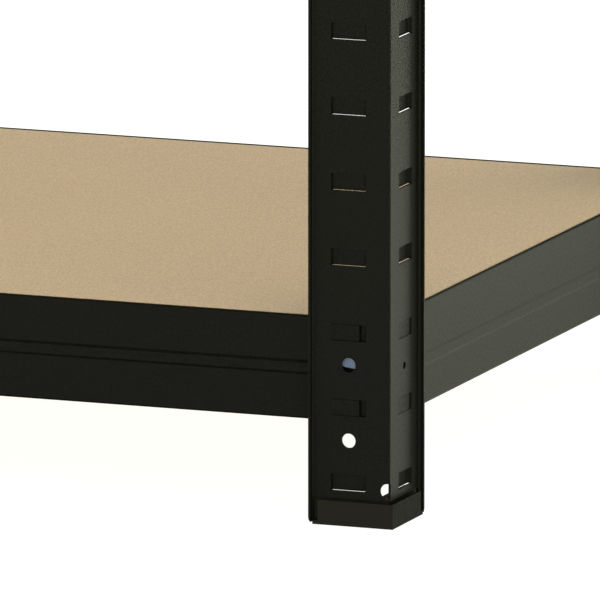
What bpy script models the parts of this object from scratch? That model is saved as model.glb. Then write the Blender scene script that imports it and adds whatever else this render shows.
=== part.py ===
"""Boltless steel shelving: four slotted angle posts, hook-in beams and loose boards on five tiers.

The unit stands on z = 0 with its origin under its middle. +X is the width, +Y runs to the back and
+Z is up. Every length is in metres. Posts, beams and feet are drawn once, in a corner frame or an end
frame of their own, and placed by location and rotation.

Corner frame (posts, joiners, feet): the corner is the origin, one flange runs along -X and the other
along +Y. "Depth" is the distance inward from the flanges' outer faces, "reach" the distance from the
corner along a flange.
"""

import math

import bmesh
import bpy
from mathutils import Matrix

MM = 0.001
GAP = 0.3 * MM                       # clearance between touching pieces

# Driving dimensions of the unit
SLOT_PITCH = 38.1 * MM
SLOTS_PER_HALF = 24
UNIT_WIDTH = 914.4 * MM              # over the posts' outer faces
UNIT_DEPTH = 457.2 * MM
TIERS = 5
TIER_SLOTS = 11                      # slots from one tier to the next

# Post section and slots
SHEET = 1.2 * MM
FLANGE = 42.5 * MM
LIP = 2.7 * MM
SLOT_REACH = 12.7 * MM               # corner to the slot's near end
SLOT_WIDTH = 19.0 * MM
SLOT_HEIGHT = 8.5 * MM
FIRST_SLOT = 17.5 * MM               # floor to the lower edge of the first slot
STRAP_PRESS = 3.25 * MM              # how far a bridge strap is pressed inward
STRAP_SLANT = 3.0 * MM               # reach taken by each of its slanted ends
STRAP_KERF = 0.7 * MM
HOLE_REACH = 21.9 * MM
HOLE_RADIUS = 3.7 * MM
HOLE_HEIGHTS = (43.1 * MM, 81.5 * MM)
PILOT_RADIUS = 1.9 * MM
PILOT_REACH = 20.7 * MM
PILOT_HEIGHT = 79.3 * MM
RELIEF_RADIUS = 3.9 * MM             # bend relief beside the corner, above the foot
RELIEF_HEIGHT = 18.6 * MM

# Foot
FOOT_REACH = 37.5 * MM
FOOT_HEIGHT = 12.6 * MM
FOOT_SKIN = 1.2 * MM
FOOT_SOLE = 2.0 * MM
FOOT_SOLE_REACH = 40.3 * MM
FOOT_BLOCK_REACH = 42.0 * MM         # block inside the angle
FOOT_BLOCK_HEIGHT = 14.0 * MM
FOOT_BLOCK_DEPTH = 8.0 * MM          # depth of the block's back face
NOTCH_REACH = 40.6 * MM              # the post is cut back round the foot
NOTCH_HEIGHT = 13.6 * MM

# Joiner between the halves of a post
JOINER_LENGTH = 152.4 * MM
JOINER_REACH = 11.6 * MM
JOINER_DEPTHS = (1.5 * MM, 3.8 * MM)
PIP_REACH = 7.2 * MM
PIP_RADIUS = 2.2 * MM
PIP_SPREAD = 57.15 * MM              # joint to each pip

# Beam section
BEAM_HEIGHT = 52.9 * MM
BEAM_SHEET = 1.1 * MM
BEAM_INSET = 4.75 * MM               # post's outer face to the beam's face
BEAM_END = 7.5 * MM                  # corner to the beam's end, along the flange
LEDGE_DROP = 8.5 * MM                # beam's top edge to the ledge
LEDGE_REACH = 20.0 * MM
RETURN_REACH = 11.0 * MM
RIB_RISE = 0.8 * MM                  # stiffening rib, pressed outward
RIB_SLANT = 1.2 * MM
RIB_DROPS = {                        # beam's top edge to the rib's upper and lower edge
    "long": (23.0 * MM, 30.2 * MM),
    "short": (26.4 * MM, 33.4 * MM),
}
LEDGE_START = 26.0 * MM              # corner to where the ledge and return begin

# Hooks, two to a beam end, one slot pitch apart
HOOK_WIDTH = 12.0 * MM
HOOK_REACH = 16.3 * MM               # corner to the hook's near edge
HOOK_SHEET = 1.45 * MM
HOOK_RISE = 2.0 * MM                 # above the slot's upper edge
FIRST_HOOK_SLOT = 1                  # slot that the lowest tier's lower hook sits in
HOOK_BELOW = 3.9 * MM                # beam's lower edge to that slot's lower edge

# Locking stud behind the upper round hole of the front or rear flange
STUD_RADIUS = 4.9 * MM
STUD_HEIGHT = 83.2 * MM              # floor to its centre
STUD_FLAT = 3.2 * MM                 # centre to the flat on its underside
STUD_TILT = 7                        # degrees by which the flat is turned
STUD_DEPTHS = (1.5 * MM, 3.6 * MM)

# Board
BOARD_THICKNESS = 8.0 * MM
BOARD_INSET = 7.8 * MM               # post's outer face to the board's edge

HALF_PITCH = SLOTS_PER_HALF * SLOT_PITCH
HALF_LENGTH = HALF_PITCH - GAP
TIER_RISE = TIER_SLOTS * SLOT_PITCH
LOWEST_BEAM = FIRST_SLOT + FIRST_HOOK_SLOT * SLOT_PITCH - HOOK_BELOW
ROUND_SIDES = 16
SMALL_SIDES = 10

CORNERS = {
    "front_right": (1, -1, 0),
    "rear_right": (1, 1, 90),
    "rear_left": (-1, 1, 180),
    "front_left": (-1, -1, 270),
}


# ---------------------------------------------------------------- scene and materials

def clear_scene():
    for thing in list(bpy.data.objects):
        bpy.data.objects.remove(thing, do_unlink=True)


def new_collection(name):
    group = bpy.data.collections.new(name)
    bpy.context.scene.collection.children.link(group)
    return group


def principled(name, colour, roughness, metallic=0.0):
    material = bpy.data.materials.new(name)
    material.use_nodes = True
    shader = material.node_tree.nodes["Principled BSDF"]
    shader.inputs["Base Color"].default_value = (*colour, 1.0)
    shader.inputs["Roughness"].default_value = roughness
    shader.inputs["Metallic"].default_value = metallic
    material.diffuse_color = (*colour, 1.0)
    return material


# ---------------------------------------------------------------- modelling helpers

def mesh_object(name, mesh, group):
    thing = bpy.data.objects.new(name, mesh)
    group.objects.link(thing)
    return thing


def evaluated_mesh(thing):
    """Return the object's mesh with its modifiers applied and its seams welded."""
    bpy.context.view_layer.update()
    source = thing.evaluated_get(bpy.context.evaluated_depsgraph_get())
    mesh = bpy.data.meshes.new_from_object(source)
    cleaner = bmesh.new()
    cleaner.from_mesh(mesh)
    bmesh.ops.remove_doubles(cleaner, verts=cleaner.verts, dist=0.001 * MM)
    cleaner.to_mesh(mesh)
    cleaner.free()
    return mesh


def prism(name, outline, length, group, base=(0.0, 0.0, 0.0), along_x=False):
    """Extrude a flat outline by length, from base.

    The outline's two coordinates are x and y and it is extruded along +Z, or with along_x they are
    y and z and it is extruded along +X.
    """
    curve = bpy.data.curves.new(name + "_outline", "CURVE")
    curve.dimensions = "2D"
    curve.fill_mode = "BOTH"
    curve.extrude = length / 2
    spline = curve.splines.new("POLY")
    spline.points.add(len(outline) - 1)
    for point, (across, up) in zip(spline.points, outline):
        point.co = (across, up, 0.0, 1.0)
    spline.use_cyclic_u = True
    drawing = mesh_object(name + "_drawing", curve, group)
    mesh = evaluated_mesh(drawing)
    bpy.data.objects.remove(drawing, do_unlink=True)
    bpy.data.curves.remove(curve)
    turn = Matrix(((0, 0, 1, 0), (1, 0, 0, 0), (0, 1, 0, 0), (0, 0, 0, 1))) if along_x else Matrix()
    mesh.transform(Matrix.Translation(base) @ turn @ Matrix.Translation((0, 0, length / 2)))
    return mesh_object(name, mesh, group)


def block(name, low, high, group):
    """Make a box between two corners."""
    box = bmesh.new()
    bmesh.ops.create_cube(box, size=1.0)
    size = [b - a for a, b in zip(low, high)]
    middle = [(a + b) / 2 for a, b in zip(low, high)]
    bmesh.ops.transform(box, matrix=Matrix.Translation(middle) @ Matrix.Diagonal((*size, 1)), verts=box.verts)
    mesh = bpy.data.meshes.new(name)
    box.to_mesh(mesh)
    box.free()
    return mesh_object(name, mesh, group)


def rod(name, centre, radius, length, turn, sides, group):
    """Make a cylinder about centre whose axis is Z turned by the given rotation."""
    round_bar = bmesh.new()
    bmesh.ops.create_cone(
        round_bar, cap_ends=True, segments=sides, radius1=radius, radius2=radius, depth=length,
        matrix=Matrix.Translation(centre) @ turn,
    )
    mesh = bpy.data.meshes.new(name)
    round_bar.to_mesh(mesh)
    round_bar.free()
    return mesh_object(name, mesh, group)


def combine(thing, tool, operation):
    """Add a Boolean of the tool, which then only shows as a wire guide."""
    step = thing.modifiers.new(operation.lower() + "_" + tool.name, "BOOLEAN")
    step.operation = operation
    step.object = tool
    step.solver = "EXACT"
    tool.hide_render = True
    tool.display_type = "WIRE"


def repeat_upward(thing, count, step):
    copies = thing.modifiers.new("slots", "ARRAY")
    copies.use_relative_offset = False
    copies.use_constant_offset = True
    copies.constant_offset_displace = (0.0, 0.0, step)
    copies.count = count
    copies.merge_threshold = 0.0001


def finish(thing, name):
    """Return the finished mesh and put the working object away."""
    mesh = evaluated_mesh(thing)
    mesh.name = name
    mesh.shade_smooth()
    mesh.set_sharp_from_angle(angle=math.radians(30))
    bpy.data.objects.remove(thing, do_unlink=True)
    return mesh


def place(name, mesh, material, group, location, degrees=0.0):
    thing = mesh_object(name, mesh, group)
    if not mesh.materials:
        mesh.materials.append(material)
    thing.location = location
    thing.rotation_euler = (0.0, 0.0, math.radians(degrees))
    return thing


# ---------------------------------------------------------------- posts

def corner_band(depth_out, depth_in, reach):
    """Outline, in plan, of an L between two depths that reaches along both flanges."""
    return [
        (-reach, depth_out), (-depth_out, depth_out), (-depth_out, reach),
        (-depth_in, reach), (-depth_in, depth_in), (-reach, depth_in),
    ]


def post_outline():
    return [
        (-FLANGE, -LIP), (-FLANGE + SHEET, -LIP), (-FLANGE + SHEET, 0.0), (0.0, 0.0),
        (0.0, FLANGE - SHEET), (LIP, FLANGE - SHEET), (LIP, FLANGE),
        (-SHEET, FLANGE), (-SHEET, SHEET), (-FLANGE, SHEET),
    ]


def on_front(points):
    """Turn (reach, depth) points into plan points on the -X flange."""
    return [(-reach, depth) for reach, depth in points]


def on_side(points):
    """Turn (reach, depth) points into plan points on the +Y flange."""
    return [(-depth, reach) for reach, depth in points]


def strap_outline():
    """Bridge strap in (reach, depth): two slanted ends let into the sheet, and the pressed-in middle."""
    near = SLOT_REACH
    far = SLOT_REACH + SLOT_WIDTH
    bite = 0.5 * MM
    skim = 0.1 * MM
    back = STRAP_PRESS + SHEET
    return [
        (near - bite, skim), (near, skim), (near + STRAP_SLANT, STRAP_PRESS),
        (far - STRAP_SLANT, STRAP_PRESS), (far, skim), (far + bite, skim),
        (far + bite, SHEET - skim), (far - skim, SHEET - skim),
        (far - STRAP_SLANT, back), (near + STRAP_SLANT, back), (near + skim, SHEET - skim),
        (near - bite, SHEET - skim),
    ]


def slot_cutters(name, group):
    """Windows through both flanges, as one column of boxes for each flange."""
    over = 1.0 * MM
    far = SLOT_REACH + SLOT_WIDTH
    high = FIRST_SLOT + SLOT_HEIGHT
    front = block(
        name + "_front_windows", (-far, -over, FIRST_SLOT), (-SLOT_REACH, SHEET + over, high), group,
    )
    side = block(
        name + "_side_windows", (-SHEET - over, SLOT_REACH, FIRST_SLOT), (over, far, high), group,
    )
    for windows in (front, side):
        repeat_upward(windows, SLOTS_PER_HALF, SLOT_PITCH)
    return front, side


def hooked_slots(half):
    """Slots of a half (0 lower, 1 upper), counted from its own lower end, that hold a beam's hook."""
    slots = []
    for tier in range(TIERS):
        for hook in range(2):
            slot = FIRST_HOOK_SLOT + tier * TIER_SLOTS + hook - half * SLOTS_PER_HALF
            if 0 <= slot < SLOTS_PER_HALF:
                slots.append(slot)
    return slots


def round_cutter(name, reach, height, radius, sides, group):
    """Rod through the -X flange."""
    turn = Matrix.Rotation(math.pi / 2, 4, "X")
    return rod(name, (-reach, SHEET / 2, height), radius, 4 * MM, turn, sides, group)


def cut_foot_end(post, name, guides):
    """Cut a lower half's holes, its bend relief and the notch that clears the foot."""
    cutters = [
        round_cutter(f"{name}_hole_{number}", HOLE_REACH, height, HOLE_RADIUS, ROUND_SIDES, guides)
        for number, height in enumerate(HOLE_HEIGHTS)
    ]
    cutters.append(round_cutter(name + "_relief", SHEET, RELIEF_HEIGHT, RELIEF_RADIUS, ROUND_SIDES, guides))
    across = Matrix.Rotation(math.pi / 2, 4, "Y")
    pilot_centre = (-SHEET / 2, PILOT_REACH, PILOT_HEIGHT)
    cutters.append(rod(name + "_pilot", pilot_centre, PILOT_RADIUS, 4 * MM, across, SMALL_SIDES, guides))
    over = 1.0 * MM
    cutters.append(prism(
        name + "_notch", corner_band(-over, SHEET + over, NOTCH_REACH), NOTCH_HEIGHT + over, guides,
        base=(0.0, 0.0, -over),
    ))
    for cutter in cutters:
        combine(post, cutter, "DIFFERENCE")


def post_mesh(name, half, guides):
    """One half-length post (0 lower, 1 upper), drawn from z = 0 at the start of its slot pitch."""
    post = prism(name, post_outline(), HALF_LENGTH, guides, base=(0.0, 0.0, GAP))
    for windows in slot_cutters(name, guides):
        combine(post, windows, "DIFFERENCE")
    pip_height = (HALF_PITCH - PIP_SPREAD, PIP_SPREAD)[half]
    pip_hole = round_cutter(name + "_pip", PIP_REACH, pip_height, PIP_RADIUS + GAP, SMALL_SIDES, guides)
    combine(post, pip_hole, "DIFFERENCE")
    if half == 0:
        cut_foot_end(post, name, guides)

    height = SLOT_HEIGHT - 2 * STRAP_KERF
    for slot in hooked_slots(half):
        low = FIRST_SLOT + slot * SLOT_PITCH + STRAP_KERF
        for flange, outline in (("front", on_front(strap_outline())), ("side", on_side(strap_outline()))):
            strap = prism(f"{name}_strap_{flange}_{slot}", outline, height, guides, base=(0, 0, low))
            combine(post, strap, "UNION")
    return finish(post, name)


def joiner_mesh(guides):
    """Inside splice of a post, drawn about the joint at z = 0, with a pip into each half."""
    low = -JOINER_LENGTH / 2
    outline = corner_band(*JOINER_DEPTHS, JOINER_REACH)
    joiner = prism("joiner", outline, JOINER_LENGTH, guides, base=(0, 0, low))
    length = JOINER_DEPTHS[0] + 1.0 * MM
    for number, height in enumerate((-PIP_SPREAD, PIP_SPREAD)):
        centre = (-PIP_REACH, 0.2 * MM + length / 2, height)
        pip = rod(f"joiner_pip_{number}", centre, PIP_RADIUS, length, Matrix.Rotation(math.pi / 2, 4, "X"),
                  SMALL_SIDES, guides)
        combine(joiner, pip, "UNION")
    return finish(joiner, "joiner")


# ---------------------------------------------------------------- feet

def foot_mesh(guides):
    """Plastic foot: an outer skin and a block inside the angle, on one sole."""
    foot = prism("foot", corner_band(-LIP, FOOT_BLOCK_DEPTH, FOOT_SOLE_REACH), FOOT_SOLE, guides)
    inside = corner_band(SHEET + GAP, FOOT_BLOCK_DEPTH, FOOT_BLOCK_REACH)
    combine(foot, prism("foot_block", inside, FOOT_BLOCK_HEIGHT, guides), "UNION")
    skin = corner_band(-LIP, FOOT_SKIN - LIP, FOOT_REACH)
    combine(foot, prism("foot_skin", skin, FOOT_HEIGHT, guides), "UNION")
    return finish(foot, "foot")


def stud_mesh(guides):
    """Round stud with a flat underside, drawn in the corner frame."""
    front, back = STUD_DEPTHS
    centre = Matrix.Translation((-HOLE_REACH, (front + back) / 2, STUD_HEIGHT))
    lying = Matrix.Rotation(math.pi / 2, 4, "X")
    stud = rod("stud", centre.translation, STUD_RADIUS, back - front, lying, 2 * ROUND_SIDES, guides)
    below = block(
        "stud_flat", (-2 * STUD_RADIUS, -2 * STUD_RADIUS, -2 * STUD_RADIUS),
        (2 * STUD_RADIUS, 2 * STUD_RADIUS, -STUD_FLAT), guides,
    )
    below.data.transform(centre @ Matrix.Rotation(math.radians(STUD_TILT), 4, "Y"))
    combine(stud, below, "DIFFERENCE")
    return finish(stud, "locking_stud")


# ---------------------------------------------------------------- beams

def beam_outline(rib_drops):
    """Section in (y, z): web with a rib, doubled hem, ledge for the board and a bottom return."""
    ledge_top = BEAM_HEIGHT - LEDGE_DROP
    hem = 2 * BEAM_SHEET
    high, low = (BEAM_HEIGHT - drop for drop in rib_drops)
    rib = [(0.0, low), (-RIB_RISE, low + RIB_SLANT), (-RIB_RISE, high - RIB_SLANT), (0.0, high)]
    inner_rib = [(BEAM_SHEET + depth, height) for depth, height in reversed(rib)]
    return [
        (0.0, 0.0), *rib, (0.0, BEAM_HEIGHT), (hem, BEAM_HEIGHT),
        (hem, ledge_top), (LEDGE_REACH, ledge_top), (LEDGE_REACH, ledge_top - BEAM_SHEET),
        (BEAM_SHEET, ledge_top - BEAM_SHEET), *inner_rib,
        (BEAM_SHEET, BEAM_SHEET), (RETURN_REACH, BEAM_SHEET), (RETURN_REACH, 0.0),
    ]


def hook_outline(slot_low):
    """Section in (y, z) of a hook that drops in front of the strap of the slot at this height."""
    front = -(BEAM_INSET - SHEET - GAP)
    back = front + HOOK_SHEET
    low = slot_low + 0.5 * MM
    neck = slot_low + SLOT_HEIGHT + GAP
    top = slot_low + SLOT_HEIGHT + HOOK_RISE
    into_web = 0.5 * MM
    return [(front, low), (back, low), (back, neck), (into_web, neck), (into_web, top), (front, top)]


def beam_mesh(name, span, rib_drops, guides):
    """A beam for posts whose outer faces are span apart, drawn from one end along +X."""
    length = span - 2 * BEAM_END
    beam = prism(name, beam_outline(rib_drops), length, guides, along_x=True)
    notch = LEDGE_START - BEAM_END
    root = BEAM_SHEET + GAP
    ledge = BEAM_HEIGHT - LEDGE_DROP
    over = 1.0 * MM
    for end, (low_x, high_x) in enumerate(((-over, notch), (length - notch, length + over))):
        for part, low_z, high_z in (
            ("ledge", ledge - BEAM_SHEET - GAP, ledge + GAP),
            ("return", -over, BEAM_SHEET + GAP),
        ):
            far = (high_x, LEDGE_REACH + over, high_z)
            cutter = block(f"{name}_{part}_notch_{end}", (low_x, root, low_z), far, guides)
            combine(beam, cutter, "DIFFERENCE")
    near = HOOK_REACH - BEAM_END
    for end, start in enumerate((near, length - near - HOOK_WIDTH)):
        for number in range(2):
            outline = hook_outline(HOOK_BELOW + number * SLOT_PITCH)
            title = f"{name}_hook_{end}_{number}"
            hook = prism(title, outline, HOOK_WIDTH, guides, base=(start, 0, 0), along_x=True)
            combine(beam, hook, "UNION")
    return finish(beam, name)


# ---------------------------------------------------------------- the unit

def build():
    clear_scene()
    unit = new_collection("boltless_steel_shelving")
    guides = new_collection("guides")

    black_coat = principled("black_powder_coat", (0.012, 0.0125, 0.0100), 0.42)
    joiner_coat = principled("joiner_coat", (0.016, 0.0160, 0.0140), 0.50)
    foot_plastic = principled("foot_plastic", (0.017, 0.0165, 0.0135), 0.60)
    fibre_board = principled("fibre_board", (0.507, 0.381, 0.242), 0.75)
    zinc = principled("zinc", (0.35, 0.40, 0.47), 0.45, metallic=1.0)

    half_width = UNIT_WIDTH / 2
    half_depth = UNIT_DEPTH / 2
    lower_post = post_mesh("post_lower", 0, guides)
    upper_post = post_mesh("post_upper", 1, guides)
    joiner = joiner_mesh(guides)
    foot = foot_mesh(guides)
    stud = stud_mesh(guides)
    joint_height = HALF_PITCH + GAP / 2
    for corner, (side, back, degrees) in CORNERS.items():
        x = side * half_width
        y = back * half_depth
        place("post_lower_" + corner, lower_post, black_coat, unit, (x, y, 0.0), degrees)
        place("post_upper_" + corner, upper_post, black_coat, unit, (x, y, HALF_PITCH), degrees)
        place("post_joiner_" + corner, joiner, joiner_coat, unit, (x, y, joint_height), degrees)
        place("foot_" + corner, foot, foot_plastic, unit, (x, y, 0.0), degrees)
        place("locking_stud_" + corner, stud, zinc, unit, (x, y, 0.0), degrees)

    long_beam = beam_mesh("beam_long", UNIT_WIDTH, RIB_DROPS["long"], guides)
    short_beam = beam_mesh("beam_short", UNIT_DEPTH, RIB_DROPS["short"], guides)
    board_x = half_width - BOARD_INSET
    board_y = half_depth - BOARD_INSET
    panel = block("board", (-board_x, -board_y, 0.0), (board_x, board_y, BOARD_THICKNESS), guides)
    board = finish(panel, "board")
    end_x = half_width - BEAM_END
    end_y = half_depth - BEAM_END
    face_x = half_width - BEAM_INSET
    face_y = half_depth - BEAM_INSET
    for tier in range(TIERS):
        low = LOWEST_BEAM + tier * TIER_RISE
        number = tier + 1
        place(f"beam_front_{number}", long_beam, black_coat, unit, (-end_x, -face_y, low), 0)
        place(f"beam_right_{number}", short_beam, black_coat, unit, (face_x, -end_y, low), 90)
        place(f"beam_rear_{number}", long_beam, black_coat, unit, (end_x, face_y, low), 180)
        place(f"beam_left_{number}", short_beam, black_coat, unit, (-face_x, end_y, low), 270)
        place(f"board_{number}", board, fibre_board, unit, (0, 0, low + BEAM_HEIGHT - LEDGE_DROP + GAP), 0)


build()
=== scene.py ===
"""Looks of the boltless steel shelving: coated sheet-metal posts and beams, fibre boards, plastic feet.

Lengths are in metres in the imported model's frame. Posts and feet are drawn once in a corner frame, with
the corner at the origin, one flange along -X and the other along +Y, and beams once from their left end.
Depth is the distance inward from a post's outer faces, reach the distance from its corner.
"""

import math

import bmesh
import bpy
from mathutils import Matrix, Vector


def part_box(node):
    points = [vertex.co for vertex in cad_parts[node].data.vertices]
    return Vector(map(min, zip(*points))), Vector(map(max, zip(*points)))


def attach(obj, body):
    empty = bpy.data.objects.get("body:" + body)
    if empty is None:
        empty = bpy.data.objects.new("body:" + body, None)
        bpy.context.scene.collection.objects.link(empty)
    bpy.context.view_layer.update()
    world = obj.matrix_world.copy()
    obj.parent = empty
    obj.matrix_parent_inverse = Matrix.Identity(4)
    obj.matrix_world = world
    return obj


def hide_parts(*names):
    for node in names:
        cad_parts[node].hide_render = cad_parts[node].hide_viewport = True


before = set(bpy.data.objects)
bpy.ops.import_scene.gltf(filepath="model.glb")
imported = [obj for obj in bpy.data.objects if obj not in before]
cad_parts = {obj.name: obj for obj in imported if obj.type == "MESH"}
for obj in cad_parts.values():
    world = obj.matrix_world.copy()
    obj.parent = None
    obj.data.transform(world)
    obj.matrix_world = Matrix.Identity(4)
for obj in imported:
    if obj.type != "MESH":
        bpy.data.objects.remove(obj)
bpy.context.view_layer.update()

MM = 0.001
BODY = "frame"
TIERS = 5
CORNER_TURNS = {"front_right": 0, "rear_right": 90, "rear_left": 180, "front_left": 270}
SIDE_TURNS = {"front": 0, "right": 90, "rear": 180, "left": 270}

# The posts' section, slots and holes. The straps are pressed less deep than in the CAD model.
GAP = 0.3 * MM
SHEET = 1.2 * MM
LIP = 2.7 * MM
FLANGE = 42.5 * MM
SLOT_PITCH = 38.1 * MM
SLOTS_PER_HALF = 24
SLOT_REACH = 12.7 * MM
SLOT_WIDTH = 19.0 * MM
SLOT_HEIGHT = 8.5 * MM
FIRST_SLOT = 17.5 * MM
STRAP_PRESS = 2.05 * MM
STRAP_SLANT = 1.2 * MM
STRAP_KERF = 0.02 * MM
LIP_BEND = 1.3 * MM                  # radii of the sheet's outer surface at its bends
CORNER_BEND = 1.4 * MM
BEND_STEPS = 5
SLANT_STEPS = 5
HOLE_REACH = 21.9 * MM
HOLE_RADIUS = 3.7 * MM
HOLE_HEIGHTS = (43.1 * MM, 81.5 * MM)
PILOT_RADIUS = 1.9 * MM
PILOT_REACH = 20.7 * MM
PILOT_HEIGHT = 79.3 * MM
PIP_REACH = 7.2 * MM
PIP_RADIUS = 2.5 * MM
PIP_SPREAD = 57.15 * MM
RELIEF_RADIUS = 3.9 * MM
RELIEF_HEIGHT = 18.6 * MM
NOTCH_REACH = 40.6 * MM
NOTCH_HEIGHT = 13.6 * MM
POST_TOE_RADIUS = 3.0 * MM

# Foot
FOOT_REACH = 37.5 * MM
FOOT_HEIGHT = 12.6 * MM
FOOT_SKIN = 1.2 * MM
FOOT_SOLE = 2.0 * MM
FOOT_SOLE_REACH = 40.3 * MM
FOOT_BLOCK_REACH = 42.0 * MM
FOOT_BLOCK_HEIGHT = 14.0 * MM
FOOT_BLOCK_DEPTH = 8.0 * MM
FOOT_EDGE = 0.3 * MM

# Beams
BEAM_HEIGHT = 52.9 * MM
BEAM_SHEET = 1.1 * MM
BEAM_INSET = 4.75 * MM
BEAM_END = 7.5 * MM
LEDGE_DROP = 8.5 * MM
LEDGE_REACH = 20.0 * MM
LEDGE_START = 26.0 * MM
RETURN_REACH = 11.0 * MM
RIB_RISE = {"long": 0.8 * MM, "short": 0.12 * MM}
RIB_SLANT = 1.2 * MM
RIB_BEND = 0.6 * MM
RIB_DROPS = {"long": (23.0 * MM, 30.2 * MM), "short": (26.4 * MM, 33.4 * MM)}
HOOK_SPANS = {"long": (16.3 * MM, 31.6 * MM), "short": (12.8 * MM, 28.1 * MM)}  # reach of a tab's ends
HOOK_PLAY = 0.1 * MM
HOOK_SHEET = 0.9 * MM
HOOK_SUNK = 0.15 * MM
HOOK_RISE = 2.0 * MM
HOOK_BELOW = 3.9 * MM
BOARD_EDGE = 0.5 * MM

HALF_PITCH = SLOTS_PER_HALF * SLOT_PITCH
HALF_LENGTH = HALF_PITCH - GAP

# Camera, aimed at a point beside the front right post, near the floor
CAMERA_AIM = Vector((0.40935, -0.2286, 0.1129))
CAMERA_AZIMUTH = math.radians(21.057)
CAMERA_ELEVATION = math.radians(10.587)
CAMERA_DISTANCE = 8.1156
CAMERA_LENS = 976.0

# Powder coat: colour, and the roughness added at the floor, which is gone at a height of COAT_SCUFF_TOP
BLACK_COAT = (0.0037, 0.0040, 0.0014)
COAT_SCUFF = 0.17
COAT_SCUFF_TOP = 0.24

# Light: strength of the dome, of the floor's glow and of the room seen in reflections. The room fades out
# between two heights of a ray's direction towards the ceiling, and between two towards the floor.
DOME_HORIZON = 3.2
DOME_ZENITH = 0.65
FLOOR_GLOW = 0.85
ROOM_STRENGTH = 0.16
ROOM_UPPER_FADE = (0.0, 0.45)
ROOM_LOWER_FADE = (-0.60, -0.30)
ROOM_COLOUR = (1.0, 1.03, 0.82, 1.0)
ROOM_LIGHTS = (  # azimuth from +Y towards +X, strength, and the half angles where it starts and is full
    (math.radians(7), 2.6, (math.radians(8), math.radians(3))),
    (math.radians(-75), 1.8, (math.radians(32), math.radians(12))),
    (math.radians(-159), 0.07, (math.radians(40), math.radians(2))),
    (math.radians(95), 0.16, (math.radians(50), math.radians(20))),
)


# ---------------------------------------------------------------- materials

def shader_tree(name):
    """New material: its node tree and its Principled shader."""
    material = bpy.data.materials.new(name)
    material.use_nodes = True
    return material, material.node_tree, material.node_tree.nodes["Principled BSDF"]


def add_node(tree, kind, **settings):
    node = tree.nodes.new(kind)
    for key, value in settings.items():
        setattr(node, key, value)
    return node


def grain(tree, scale, detail=2.0, stretch=(1.0, 1.0, 1.0)):
    """Noise of a given number of cells per metre, in object space."""
    place = add_node(tree, "ShaderNodeTexCoord")
    mapping = add_node(tree, "ShaderNodeMapping")
    mapping.inputs["Scale"].default_value = [scale * s for s in stretch]
    noise = add_node(tree, "ShaderNodeTexNoise")
    noise.inputs["Scale"].default_value = 1.0
    noise.inputs["Detail"].default_value = detail
    tree.links.new(place.outputs["Object"], mapping.inputs["Vector"])
    tree.links.new(mapping.outputs["Vector"], noise.inputs["Vector"])
    return noise.outputs["Fac"]


def remap(tree, value, low, high, start=0.3, stop=0.7):
    """Map a value between start and stop onto low to high. The defaults suit a noise."""
    node = add_node(tree, "ShaderNodeMapRange")
    node.inputs["From Min"].default_value = start
    node.inputs["From Max"].default_value = stop
    node.inputs["To Min"].default_value = low
    node.inputs["To Max"].default_value = high
    tree.links.new(value, node.inputs["Value"])
    return node.outputs["Result"]


def scaled_colour(tree, colour, *factors):
    """A colour times one or more factors."""
    current = None
    for factor in factors:
        node = add_node(tree, "ShaderNodeVectorMath", operation="SCALE")
        if current is None:
            node.inputs[0].default_value = colour
        else:
            tree.links.new(current, node.inputs[0])
        tree.links.new(factor, node.inputs["Scale"])
        current = node.outputs["Vector"]
    return current


def bump(tree, shader, height, strength, distance):
    node = add_node(tree, "ShaderNodeBump")
    node.inputs["Strength"].default_value = strength
    node.inputs["Distance"].default_value = distance
    tree.links.new(height, node.inputs["Height"])
    tree.links.new(node.outputs["Normal"], shader.inputs["Normal"])


def coated_steel(name, colour, roughness):
    """Satin powder coat: fine orange peel, an uneven tint and gloss, duller near the floor."""
    material, tree, shader = shader_tree(name)
    fine = grain(tree, 800.0, 2.0)
    broad = grain(tree, 9.0, 3.0)
    tint = scaled_colour(tree, colour, remap(tree, fine, 0.4, 1.6), remap(tree, broad, 0.93, 1.07))
    tree.links.new(tint, shader.inputs["Base Color"])
    uneven = remap(tree, grain(tree, 600.0), roughness - 0.05, roughness + 0.07)
    place = add_node(tree, "ShaderNodeNewGeometry")
    height = add_node(tree, "ShaderNodeSeparateXYZ")
    tree.links.new(place.outputs["Position"], height.inputs[0])
    scuffed = remap(tree, height.outputs["Z"], COAT_SCUFF, 0.0, 0.0, COAT_SCUFF_TOP)
    total = add_node(tree, "ShaderNodeMath", operation="ADD")
    tree.links.new(uneven, total.inputs[0])
    tree.links.new(scuffed, total.inputs[1])
    tree.links.new(total.outputs[0], shader.inputs["Roughness"])
    bump(tree, shader, grain(tree, 800.0, 2.0), 0.5, 0.06 * MM)
    return material


def fibre_board():
    """Raw fibre board: tan, with fine felted fibres and a little cloudiness."""
    material, tree, shader = shader_tree("fibre_board")
    specks = remap(tree, grain(tree, 900.0, 3.0), 0.78, 1.22)
    fibres = remap(tree, grain(tree, 260.0, 4.0, (0.35, 1.0, 1.0)), 0.975, 1.025)
    clouds = remap(tree, grain(tree, 7.0, 3.0), 0.985, 1.015)
    tint = scaled_colour(tree, (0.585, 0.45, 0.265), specks, fibres, clouds)
    tree.links.new(tint, shader.inputs["Base Color"])
    tree.links.new(remap(tree, grain(tree, 300.0), 0.62, 0.74), shader.inputs["Roughness"])
    shader.inputs["Specular IOR Level"].default_value = 0.25
    bump(tree, shader, grain(tree, 900.0, 3.0), 0.2, 0.06 * MM)
    return material


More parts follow.
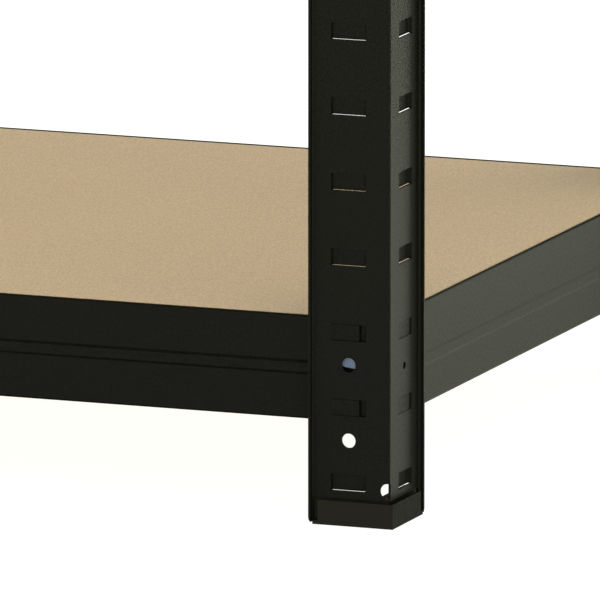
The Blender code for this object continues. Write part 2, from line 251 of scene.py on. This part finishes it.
def moulded_plastic():
    """Black moulded plastic with a fine spark texture."""
    material, tree, shader = shader_tree("foot_plastic")
    tint = scaled_colour(tree, (0.0140, 0.0134, 0.0092), remap(tree, grain(tree, 1500.0, 2.0), 0.75, 1.25))
    tree.links.new(tint, shader.inputs["Base Color"])
    tree.links.new(remap(tree, grain(tree, 500.0), 0.52, 0.64), shader.inputs["Roughness"])
    shader.inputs["Specular IOR Level"].default_value = 0.05
    bump(tree, shader, grain(tree, 1500.0, 2.0), 0.35, 0.05 * MM)
    return material


def zinc_plate():
    """Blue-passivated zinc with faint spangle."""
    material, tree, shader = shader_tree("zinc")
    tint = scaled_colour(tree, (0.22, 0.29, 0.40), remap(tree, grain(tree, 600.0, 3.0), 0.9, 1.1))
    tree.links.new(tint, shader.inputs["Base Color"])
    shader.inputs["Metallic"].default_value = 0.6
    tree.links.new(remap(tree, grain(tree, 350.0), 0.36, 0.50), shader.inputs["Roughness"])
    return material


# ---------------------------------------------------------------- mesh helpers

def mesh_from(sketch, name):
    """Turn a bmesh into a mesh with its faces pointing out."""
    bmesh.ops.recalc_face_normals(sketch, faces=sketch.faces)
    mesh = bpy.data.meshes.new(name)
    sketch.to_mesh(mesh)
    sketch.free()
    return mesh


def rounded(points, radii, steps=BEND_STEPS):
    """Closed outline with its corners turned into arcs of the given radii."""
    result = []
    count = len(points)
    for i, (point, radius) in enumerate(zip(points, radii)):
        here = Vector(point)
        if radius <= 0.0:
            result.append(here)
            continue
        before = (Vector(points[i - 1]) - here).normalized()
        after = (Vector(points[(i + 1) % count]) - here).normalized()
        half = before.angle(after) / 2
        start = here + before * (radius / math.tan(half))
        centre = here + (before + after).normalized() * (radius / math.sin(half))
        first = start - centre
        sweep = math.pi - 2 * half
        turn = 1.0 if before.x * after.y - before.y * after.x < 0 else -1.0
        for step in range(steps + 1):
            angle = turn * sweep * step / steps
            cos, sin = math.cos(angle), math.sin(angle)
            result.append(centre + Vector((first.x * cos - first.y * sin, first.x * sin + first.y * cos)))
    return result


def prism(outline, length, base=(0.0, 0.0, 0.0), along="z"):
    """Closed mesh of an outline pulled along Z (outline in x, y), X (in y, z) or Y (in x, z)."""
    sketch = bmesh.new()
    where = {
        "z": lambda a, b, d: (a, b, d),
        "x": lambda a, b, d: (d, a, b),
        "y": lambda a, b, d: (a, d, b),
    }[along]
    offset = Vector(base)
    near = [sketch.verts.new(offset + Vector(where(a, b, 0.0))) for a, b in outline]
    far = [sketch.verts.new(offset + Vector(where(a, b, length))) for a, b in outline]
    sketch.faces.new(near)
    sketch.faces.new(far)
    for i in range(len(near)):
        j = (i + 1) % len(near)
        sketch.faces.new((near[i], near[j], far[j], far[i]))
    return mesh_from(sketch, "prism")


def box_mesh(low, high):
    (x0, y0, z0), (x1, y1, z1) = low, high
    return prism([(x0, y0), (x1, y0), (x1, y1), (x0, y1)], z1 - z0, base=(0, 0, z0))


def rod_mesh(centre, radius, length, axis, sides=32):
    turn = Matrix.Rotation(math.pi / 2, 4, "X" if axis == "Y" else "Y")
    sketch = bmesh.new()
    bmesh.ops.create_cone(
        sketch, cap_ends=True, segments=sides, radius1=radius, radius2=radius, depth=length,
        matrix=Matrix.Translation(centre) @ turn,
    )
    return mesh_from(sketch, "rod")


def evaluate(mesh, *modifiers):
    """Mesh after a list of (type, settings) modifiers."""
    holder = bpy.data.objects.new("holder", mesh)
    bpy.context.scene.collection.objects.link(holder)
    for number, (kind, settings) in enumerate(modifiers):
        modifier = holder.modifiers.new(f"step_{number}", kind)
        for key, value in settings.items():
            setattr(modifier, key, value)
    bpy.context.view_layer.update()
    done = bpy.data.meshes.new_from_object(holder.evaluated_get(bpy.context.evaluated_depsgraph_get()))
    bpy.data.objects.remove(holder)
    return done


def carve(mesh, cutters=(), additions=()):
    """Mesh with cutter meshes taken away and others joined on."""
    tools = []
    steps = []
    for tool, operation in [(c, "DIFFERENCE") for c in cutters] + [(a, "UNION") for a in additions]:
        thing = bpy.data.objects.new("tool", tool)
        bpy.context.scene.collection.objects.link(thing)
        tools.append(thing)
        steps.append(("BOOLEAN", {"object": thing, "operation": operation, "solver": "EXACT"}))
    done = evaluate(mesh, *steps)
    for thing in tools:
        bpy.data.objects.remove(thing)
    return done


def smooth(mesh, degrees=32.0):
    """Smooth shading that keeps sharp edges and leaves wide flat faces flat."""
    mesh.shade_smooth()
    mesh.set_sharp_from_angle(angle=math.radians(degrees))
    return evaluate(mesh, ("WEIGHTED_NORMAL", {"weight": 100, "keep_sharp": True}))


def edge_bevel(width, segments=2):
    return ("BEVEL", {"width": width, "segments": segments, "limit_method": "ANGLE",
                      "angle_limit": math.radians(40), "harden_normals": False})


def show(name, mesh, material, node, body=BODY, location=(0, 0, 0), degrees=0.0):
    """Place a finished mesh as a visible piece that stands for a CAD node."""
    piece = bpy.data.objects.new(name, mesh)
    bpy.context.scene.collection.objects.link(piece)
    if not mesh.materials:
        mesh.materials.append(material)
    piece.location = location
    piece.rotation_euler = (0.0, 0.0, math.radians(degrees))
    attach(piece, body)
    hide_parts(node)
    return piece


# ---------------------------------------------------------------- posts

def corner_band(depth_out, depth_in, reach):
    """Plan outline of an L between two depths that reaches along both flanges."""
    return [
        (-reach, depth_out), (-depth_out, depth_out), (-depth_out, reach),
        (-depth_in, reach), (-depth_in, depth_in), (-reach, depth_in),
    ]


def arc(centre, radius, start, stop, steps):
    """Points on an arc, with its angles in degrees."""
    points = []
    for step in range(steps + 1):
        angle = math.radians(start + (stop - start) * step / steps)
        points.append((centre[0] + radius * math.cos(angle), centre[1] + radius * math.sin(angle)))
    return points


def flange_columns():
    """Plan points of the sheet's outer surface from the -X flange's lip to the middle of the corner bend."""
    face = FLANGE - SHEET
    columns = [(-face, -LIP)]
    columns += arc((-face + LIP_BEND, -LIP_BEND), LIP_BEND, 180, 90, BEND_STEPS)
    columns += [(-SLOT_REACH - SLOT_WIDTH, 0.0), (-SLOT_REACH, 0.0)]
    columns += arc((-CORNER_BEND, CORNER_BEND), CORNER_BEND, -90, -45, BEND_STEPS)
    return columns


def swap_flange(point):
    """The matching point of the +Y flange."""
    return (-point[1], -point[0])


def strap_steps():
    """Reach and depth along a bridge strap, from its far end to its near end."""
    far = SLOT_REACH + SLOT_WIDTH
    steps = []
    for i in range(1, SLANT_STEPS + 1):
        t = i / SLANT_STEPS
        steps.append((far - STRAP_SLANT * t, STRAP_PRESS * t * t * (3 - 2 * t)))
    middle = (far + SLOT_REACH) / 2
    return steps + [(2 * middle - reach, depth) for reach, depth in reversed(steps)]


def post_shell(bottom, first_slot):
    """Sheet-metal post half: the outer surface with its straps pressed in, thickened inward."""
    half = flange_columns()
    columns = half + [swap_flange(p) for p in reversed(half[:-1])]
    far_a = half.index((-SLOT_REACH - SLOT_WIDTH, 0.0))
    near_b = len(columns) - 1 - (far_a + 1)
    windows = {far_a: False, near_b: True}

    levels = [bottom]
    kerf_rows = set()
    strap_rows = set()
    for slot in range(SLOTS_PER_HALF):
        low = first_slot + slot * SLOT_PITCH
        high = low + SLOT_HEIGHT
        kerf_rows.update((len(levels), len(levels) + 2))
        strap_rows.add(len(levels) + 1)
        levels += [low, low + STRAP_KERF, high - STRAP_KERF, high]
    levels.append(bottom + HALF_LENGTH)

    sketch = bmesh.new()
    grid = [[sketch.verts.new((x, y, z)) for x, y in columns] for z in levels]
    for row in range(len(levels) - 1):
        for column in range(len(columns) - 1):
            if column in windows and row in kerf_rows:
                continue
            if column in windows and row in strap_rows:
                add_strap(sketch, grid, row, column, levels, windows[column])
                continue
            below, above = grid[row], grid[row + 1]
            sketch.faces.new((below[column], below[column + 1], above[column + 1], above[column]))
    mesh = bpy.data.meshes.new("post_surface")
    sketch.to_mesh(mesh)
    sketch.free()
    return evaluate(mesh, ("SOLIDIFY", {"thickness": SHEET, "offset": -1.0, "use_even_offset": True}))


def add_strap(sketch, grid, row, column, levels, on_side):
    """Fill one slot with its strap, which starts and ends on the window's two edges."""
    lower = [grid[row][column]]
    upper = [grid[row + 1][column]]
    steps = strap_steps()
    if on_side:
        steps = list(reversed(steps))
    for reach, depth in steps:
        x, y = swap_flange((-reach, depth)) if on_side else (-reach, depth)
        lower.append(sketch.verts.new((x, y, levels[row])))
        upper.append(sketch.verts.new((x, y, levels[row + 1])))
    lower.append(grid[row][column + 1])
    upper.append(grid[row + 1][column + 1])
    for i in range(len(lower) - 1):
        sketch.faces.new((lower[i], lower[i + 1], upper[i + 1], upper[i]))


def toe_cutters():
    """Round off the outer lower corner of each flange."""
    over = 1.0 * MM
    centre_reach = FLANGE - POST_TOE_RADIUS
    bottom = GAP
    outline = [(FLANGE + over, bottom - over), (centre_reach, bottom - over)]
    outline += arc((centre_reach, bottom + POST_TOE_RADIUS), POST_TOE_RADIUS, -90, 0, 8)
    outline.append((FLANGE + over, bottom + POST_TOE_RADIUS))
    length = LIP + SHEET + 2 * over
    front = prism([(-r, z) for r, z in outline], length, base=(0, -LIP - over, 0), along="y")
    side = prism([(r, z) for r, z in outline], length, base=(-SHEET - over, 0, 0), along="x")
    return [front, side]


def post_mesh(half):
    """One half of a post, 0 lower or 1 upper, from the start of its slot pitch."""
    mesh = post_shell(GAP, FIRST_SLOT)
    through = 4 * MM
    depth = SHEET / 2
    pip_height = (HALF_PITCH - PIP_SPREAD, PIP_SPREAD)[half]
    cutters = [rod_mesh((-PIP_REACH, depth, pip_height), PIP_RADIUS, through, "Y")]
    if half == 0:
        for height in HOLE_HEIGHTS:
            cutters.append(rod_mesh((-HOLE_REACH, depth, height), HOLE_RADIUS, through, "Y", 40))
        cutters.append(rod_mesh((-depth, PILOT_REACH, PILOT_HEIGHT), PILOT_RADIUS, through, "X"))
        cutters.append(rod_mesh((-SHEET, depth, RELIEF_HEIGHT), RELIEF_RADIUS, through / 2, "Y", 40))
        over = 1.0 * MM
        notch = corner_band(-over, SHEET + over, NOTCH_REACH)
        cutters.append(prism(notch, NOTCH_HEIGHT + over, base=(0, 0, -over)))
        cutters += toe_cutters()
    return smooth(carve(mesh, cutters))


# ---------------------------------------------------------------- foot

def foot_mesh():
    """Moulded foot: an outer skin and a block inside the angle, on one sole."""
    sole = prism(corner_band(-LIP, FOOT_BLOCK_DEPTH, FOOT_SOLE_REACH), FOOT_SOLE)
    block = prism(corner_band(SHEET + GAP, FOOT_BLOCK_DEPTH, FOOT_BLOCK_REACH), FOOT_BLOCK_HEIGHT)
    skin = prism(corner_band(-LIP, FOOT_SKIN - LIP, FOOT_REACH), FOOT_HEIGHT)
    return smooth(evaluate(carve(sole, additions=[block, skin]), edge_bevel(FOOT_EDGE)))


# ---------------------------------------------------------------- beams

def beam_section(kind):
    """Rolled section in (y, z) with its bends rounded: web and rib, hem, ledge and bottom return."""
    sheet = BEAM_SHEET
    hem = 2 * sheet
    ledge = BEAM_HEIGHT - LEDGE_DROP
    high, low = (BEAM_HEIGHT - drop for drop in RIB_DROPS[kind])
    proud = -RIB_RISE[kind]
    cut_edge = 0.15 * MM
    rib = [(0.0, low), (proud, low + RIB_SLANT), (proud, high - RIB_SLANT), (0.0, high)]
    corners = [((0.0, 0.0), 1.4 * MM)]
    corners += [(point, RIB_BEND) for point in rib]
    corners += [
        ((0.0, BEAM_HEIGHT), 1.0 * MM), ((hem, BEAM_HEIGHT), 1.0 * MM),
        ((hem, ledge), 0.5 * MM),
        ((LEDGE_REACH, ledge), cut_edge), ((LEDGE_REACH, ledge - sheet), cut_edge),
        ((sheet, ledge - sheet), 0.0),
    ]
    corners += [((y + sheet, z), RIB_BEND) for y, z in reversed(rib)]
    corners.append(((sheet, sheet), 0.4 * MM))
    corners += [((RETURN_REACH, sheet), cut_edge), ((RETURN_REACH, 0.0), cut_edge)]
    return rounded([point for point, _ in corners], [radius for _, radius in corners])


def hook_section(slot_low):
    """Section in (y, z) of a hook: a shoulder behind the flange and a tab almost flush with its face."""
    flush = -(BEAM_INSET - HOOK_SUNK)
    front = -(BEAM_INSET - SHEET - GAP)
    back = front + HOOK_SHEET
    low = slot_low + HOOK_PLAY
    neck = slot_low + SLOT_HEIGHT + GAP
    top = slot_low + SLOT_HEIGHT + HOOK_RISE
    into_web = 0.5 * MM
    high = slot_low + SLOT_HEIGHT - HOOK_PLAY
    points = [(flush, low), (back, low), (back, neck), (into_web, neck)]
    points += [(into_web, top), (front, top), (front, high), (flush, high)]
    return rounded(points, [0.3 * MM, 0.3 * MM, 0.1 * MM, 0.0, 0.0, 0.5 * MM, 0.1 * MM, 0.3 * MM])


def beam_mesh(span, kind):
    """A beam for posts whose outer faces are span apart, from one end along +X."""
    length = span - 2 * BEAM_END
    notch = LEDGE_START - BEAM_END
    root = BEAM_SHEET + GAP
    ledge = BEAM_HEIGHT - LEDGE_DROP
    over = 1.0 * MM
    far = LEDGE_REACH + over
    cutters = []
    hooks = []
    near, end = (reach - BEAM_END for reach in HOOK_SPANS[kind])
    ends = ((-over, notch, near), (length - notch, length + over, length - end))
    for low_x, high_x, hook_x in ends:
        cutters.append(box_mesh((low_x, root, ledge - BEAM_SHEET - GAP), (high_x, far, ledge + GAP)))
        cutters.append(box_mesh((low_x, root, -over), (high_x, far, BEAM_SHEET + GAP)))
        for number in range(2):
            section = hook_section(HOOK_BELOW + number * SLOT_PITCH)
            hooks.append(prism(section, end - near, base=(hook_x, 0, 0), along="x"))
    body = prism(beam_section(kind), length, along="x")
    return smooth(carve(body, cutters, hooks))


# ---------------------------------------------------------------- boards

def board_mesh(low, high):
    """Board with eased edges, drawn about its own lower middle."""
    half = (high - low) / 2
    body = box_mesh((-half.x, -half.y, 0.0), (half.x, half.y, high.z - low.z))
    return smooth(evaluate(body, edge_bevel(BOARD_EDGE, 3)))


# ---------------------------------------------------------------- the object

steel = coated_steel("black_powder_coat", BLACK_COAT, 0.27)
beam_steel = coated_steel("beam_powder_coat", BLACK_COAT, 0.31)
joiner_steel = coated_steel("joiner_coat", (0.010, 0.010, 0.009), 0.46)
board_material = fibre_board()
plastic = moulded_plastic()
zinc = zinc_plate()

shared_posts = {"lower": post_mesh(0), "upper": post_mesh(1)}
shared_foot = foot_mesh()
outer_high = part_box("post_upper_rear_right")[1]
half_width = outer_high.x - LIP
half_depth = outer_high.y - LIP
for corner, degrees in CORNER_TURNS.items():
    x = half_width if corner.endswith("right") else -half_width
    y = half_depth if corner.startswith("rear") else -half_depth
    for part, level in (("lower", 0.0), ("upper", HALF_PITCH)):
        node = f"post_{part}_{corner}"
        show(node + "_steel", shared_posts[part], steel, node,
             location=(x, y, level), degrees=degrees)
    node = "foot_" + corner
    show(node + "_moulding", shared_foot, plastic, node,
         location=(x, y, 0.0), degrees=degrees)
    for name, material in (("post_joiner_", joiner_steel), ("locking_stud_", zinc)):
        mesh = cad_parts[name + corner].data
        mesh.materials.clear()
        mesh.materials.append(material)

shared_beams = {"long": beam_mesh(2 * half_width, "long"), "short": beam_mesh(2 * half_depth, "short")}
board_low, board_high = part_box("board_1")
shared_board = board_mesh(board_low, board_high)
end_x = half_width - BEAM_END
end_y = half_depth - BEAM_END
face_x = half_width - BEAM_INSET
face_y = half_depth - BEAM_INSET
starts = {
    "front": (-end_x, -face_y),
    "right": (face_x, -end_y),
    "rear": (end_x, face_y),
    "left": (-face_x, end_y),
}
for tier in range(1, TIERS + 1):
    for side, degrees in SIDE_TURNS.items():
        node = f"beam_{side}_{tier}"
        length = "long" if side in ("front", "rear") else "short"
        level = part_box(node)[0].z
        show(node + "_steel", shared_beams[length], beam_steel, node,
             location=(*starts[side], level), degrees=degrees)
    node = f"board_{tier}"
    show(node + "_panel", shared_board, board_material, node, body=f"shelf_{tier}",
         location=(0.0, 0.0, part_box(node)[0].z))


# ---------------------------------------------------------------- floor, light and camera

def floor():
    """Pale seamless floor that glows a little, so that the unit's shadow on it stays faint."""
    mesh = box_mesh((-30, -30, -0.02), (30, 30, 0.0))
    thing = bpy.data.objects.new("floor", mesh)
    bpy.context.scene.collection.objects.link(thing)
    material, tree, shader = shader_tree("pale_floor")
    tone = remap(tree, grain(tree, 2.0), 0.985, 1.0)
    tree.links.new(scaled_colour(tree, (0.35, 0.35, 0.35), tone), shader.inputs["Base Color"])
    shader.inputs["Roughness"].default_value = 0.9
    shader.inputs["Specular IOR Level"].default_value = 0.0
    shader.inputs["Emission Color"].default_value = (1, 1, 1, 1)
    shader.inputs["Emission Strength"].default_value = FLOOR_GLOW
    mesh.materials.append(material)
    thing.visible_glossy = False


def studio():
    """White dome, stronger towards the horizon. Reflections see a dim room with a few soft lights."""
    world = bpy.data.worlds.new("studio")
    bpy.context.scene.world = world
    world.use_nodes = True
    tree = world.node_tree
    tree.nodes.clear()
    output = add_node(tree, "ShaderNodeOutputWorld")
    place = add_node(tree, "ShaderNodeTexCoord")
    split = add_node(tree, "ShaderNodeSeparateXYZ")
    tree.links.new(place.outputs["Generated"], split.inputs[0])
    height = split.outputs["Z"]

    sky = remap(tree, height, DOME_HORIZON, DOME_ZENITH, 0.0, 0.9)
    below_ceiling = remap(tree, height, 1.0, 0.0, *ROOM_UPPER_FADE)
    above_floor = remap(tree, height, 0.0, 1.0, *ROOM_LOWER_FADE)
    flat = add_node(tree, "ShaderNodeCombineXYZ")
    tree.links.new(split.outputs["X"], flat.inputs["X"])
    tree.links.new(split.outputs["Y"], flat.inputs["Y"])
    bearing = add_node(tree, "ShaderNodeVectorMath", operation="NORMALIZE")
    tree.links.new(flat.outputs[0], bearing.inputs[0])
    mirrored_strength = None
    for azimuth, strength, fade in ROOM_LIGHTS:
        facing = add_node(tree, "ShaderNodeVectorMath", operation="DOT_PRODUCT")
        facing.inputs[1].default_value = (math.sin(azimuth), math.cos(azimuth), 0.0)
        tree.links.new(bearing.outputs[0], facing.inputs[0])
        glow = remap(tree, facing.outputs["Value"], 0.0, strength, math.cos(fade[0]), math.cos(fade[1]))
        total = add_node(tree, "ShaderNodeMath", operation="ADD")
        total.inputs[0].default_value = ROOM_STRENGTH
        if mirrored_strength is not None:
            tree.links.new(mirrored_strength, total.inputs[0])
        tree.links.new(glow, total.inputs[1])
        mirrored_strength = total.outputs[0]
    for fade in (below_ceiling, above_floor):
        product = add_node(tree, "ShaderNodeMath", operation="MULTIPLY")
        tree.links.new(mirrored_strength, product.inputs[0])
        tree.links.new(fade, product.inputs[1])
        mirrored_strength = product.outputs[0]

    rays = add_node(tree, "ShaderNodeLightPath")
    mirrored = add_node(tree, "ShaderNodeBackground")
    mirrored.inputs["Color"].default_value = ROOM_COLOUR
    tree.links.new(mirrored_strength, mirrored.inputs["Strength"])
    dome = add_node(tree, "ShaderNodeBackground")
    tree.links.new(sky, dome.inputs["Strength"])
    seen = add_node(tree, "ShaderNodeBackground")
    seen.inputs["Strength"].default_value = 1.0
    glossy_mix = add_node(tree, "ShaderNodeMixShader")
    tree.links.new(rays.outputs["Is Glossy Ray"], glossy_mix.inputs[0])
    tree.links.new(dome.outputs[0], glossy_mix.inputs[1])
    tree.links.new(mirrored.outputs[0], glossy_mix.inputs[2])
    camera_mix = add_node(tree, "ShaderNodeMixShader")
    tree.links.new(rays.outputs["Is Camera Ray"], camera_mix.inputs[0])
    tree.links.new(glossy_mix.outputs[0], camera_mix.inputs[1])
    tree.links.new(seen.outputs[0], camera_mix.inputs[2])
    tree.links.new(camera_mix.outputs[0], output.inputs["Surface"])


def camera():
    data = bpy.data.cameras.new("camera")
    data.lens = CAMERA_LENS
    data.sensor_width = 36.0
    data.clip_start = 0.1
    data.clip_end = 100.0
    thing = bpy.data.objects.new("camera", data)
    bpy.context.scene.collection.objects.link(thing)
    back = Vector((
        math.sin(CAMERA_AZIMUTH) * math.cos(CAMERA_ELEVATION),
        -math.cos(CAMERA_AZIMUTH) * math.cos(CAMERA_ELEVATION),
        math.sin(CAMERA_ELEVATION),
    ))
    thing.location = CAMERA_AIM + back * CAMERA_DISTANCE
    thing.rotation_mode = "QUATERNION"
    thing.rotation_quaternion = (-back).to_track_quat("-Z", "Y")
    bpy.context.scene.camera = thing


bpy.context.scene.view_settings.view_transform = "Standard"
floor()
studio()
camera()
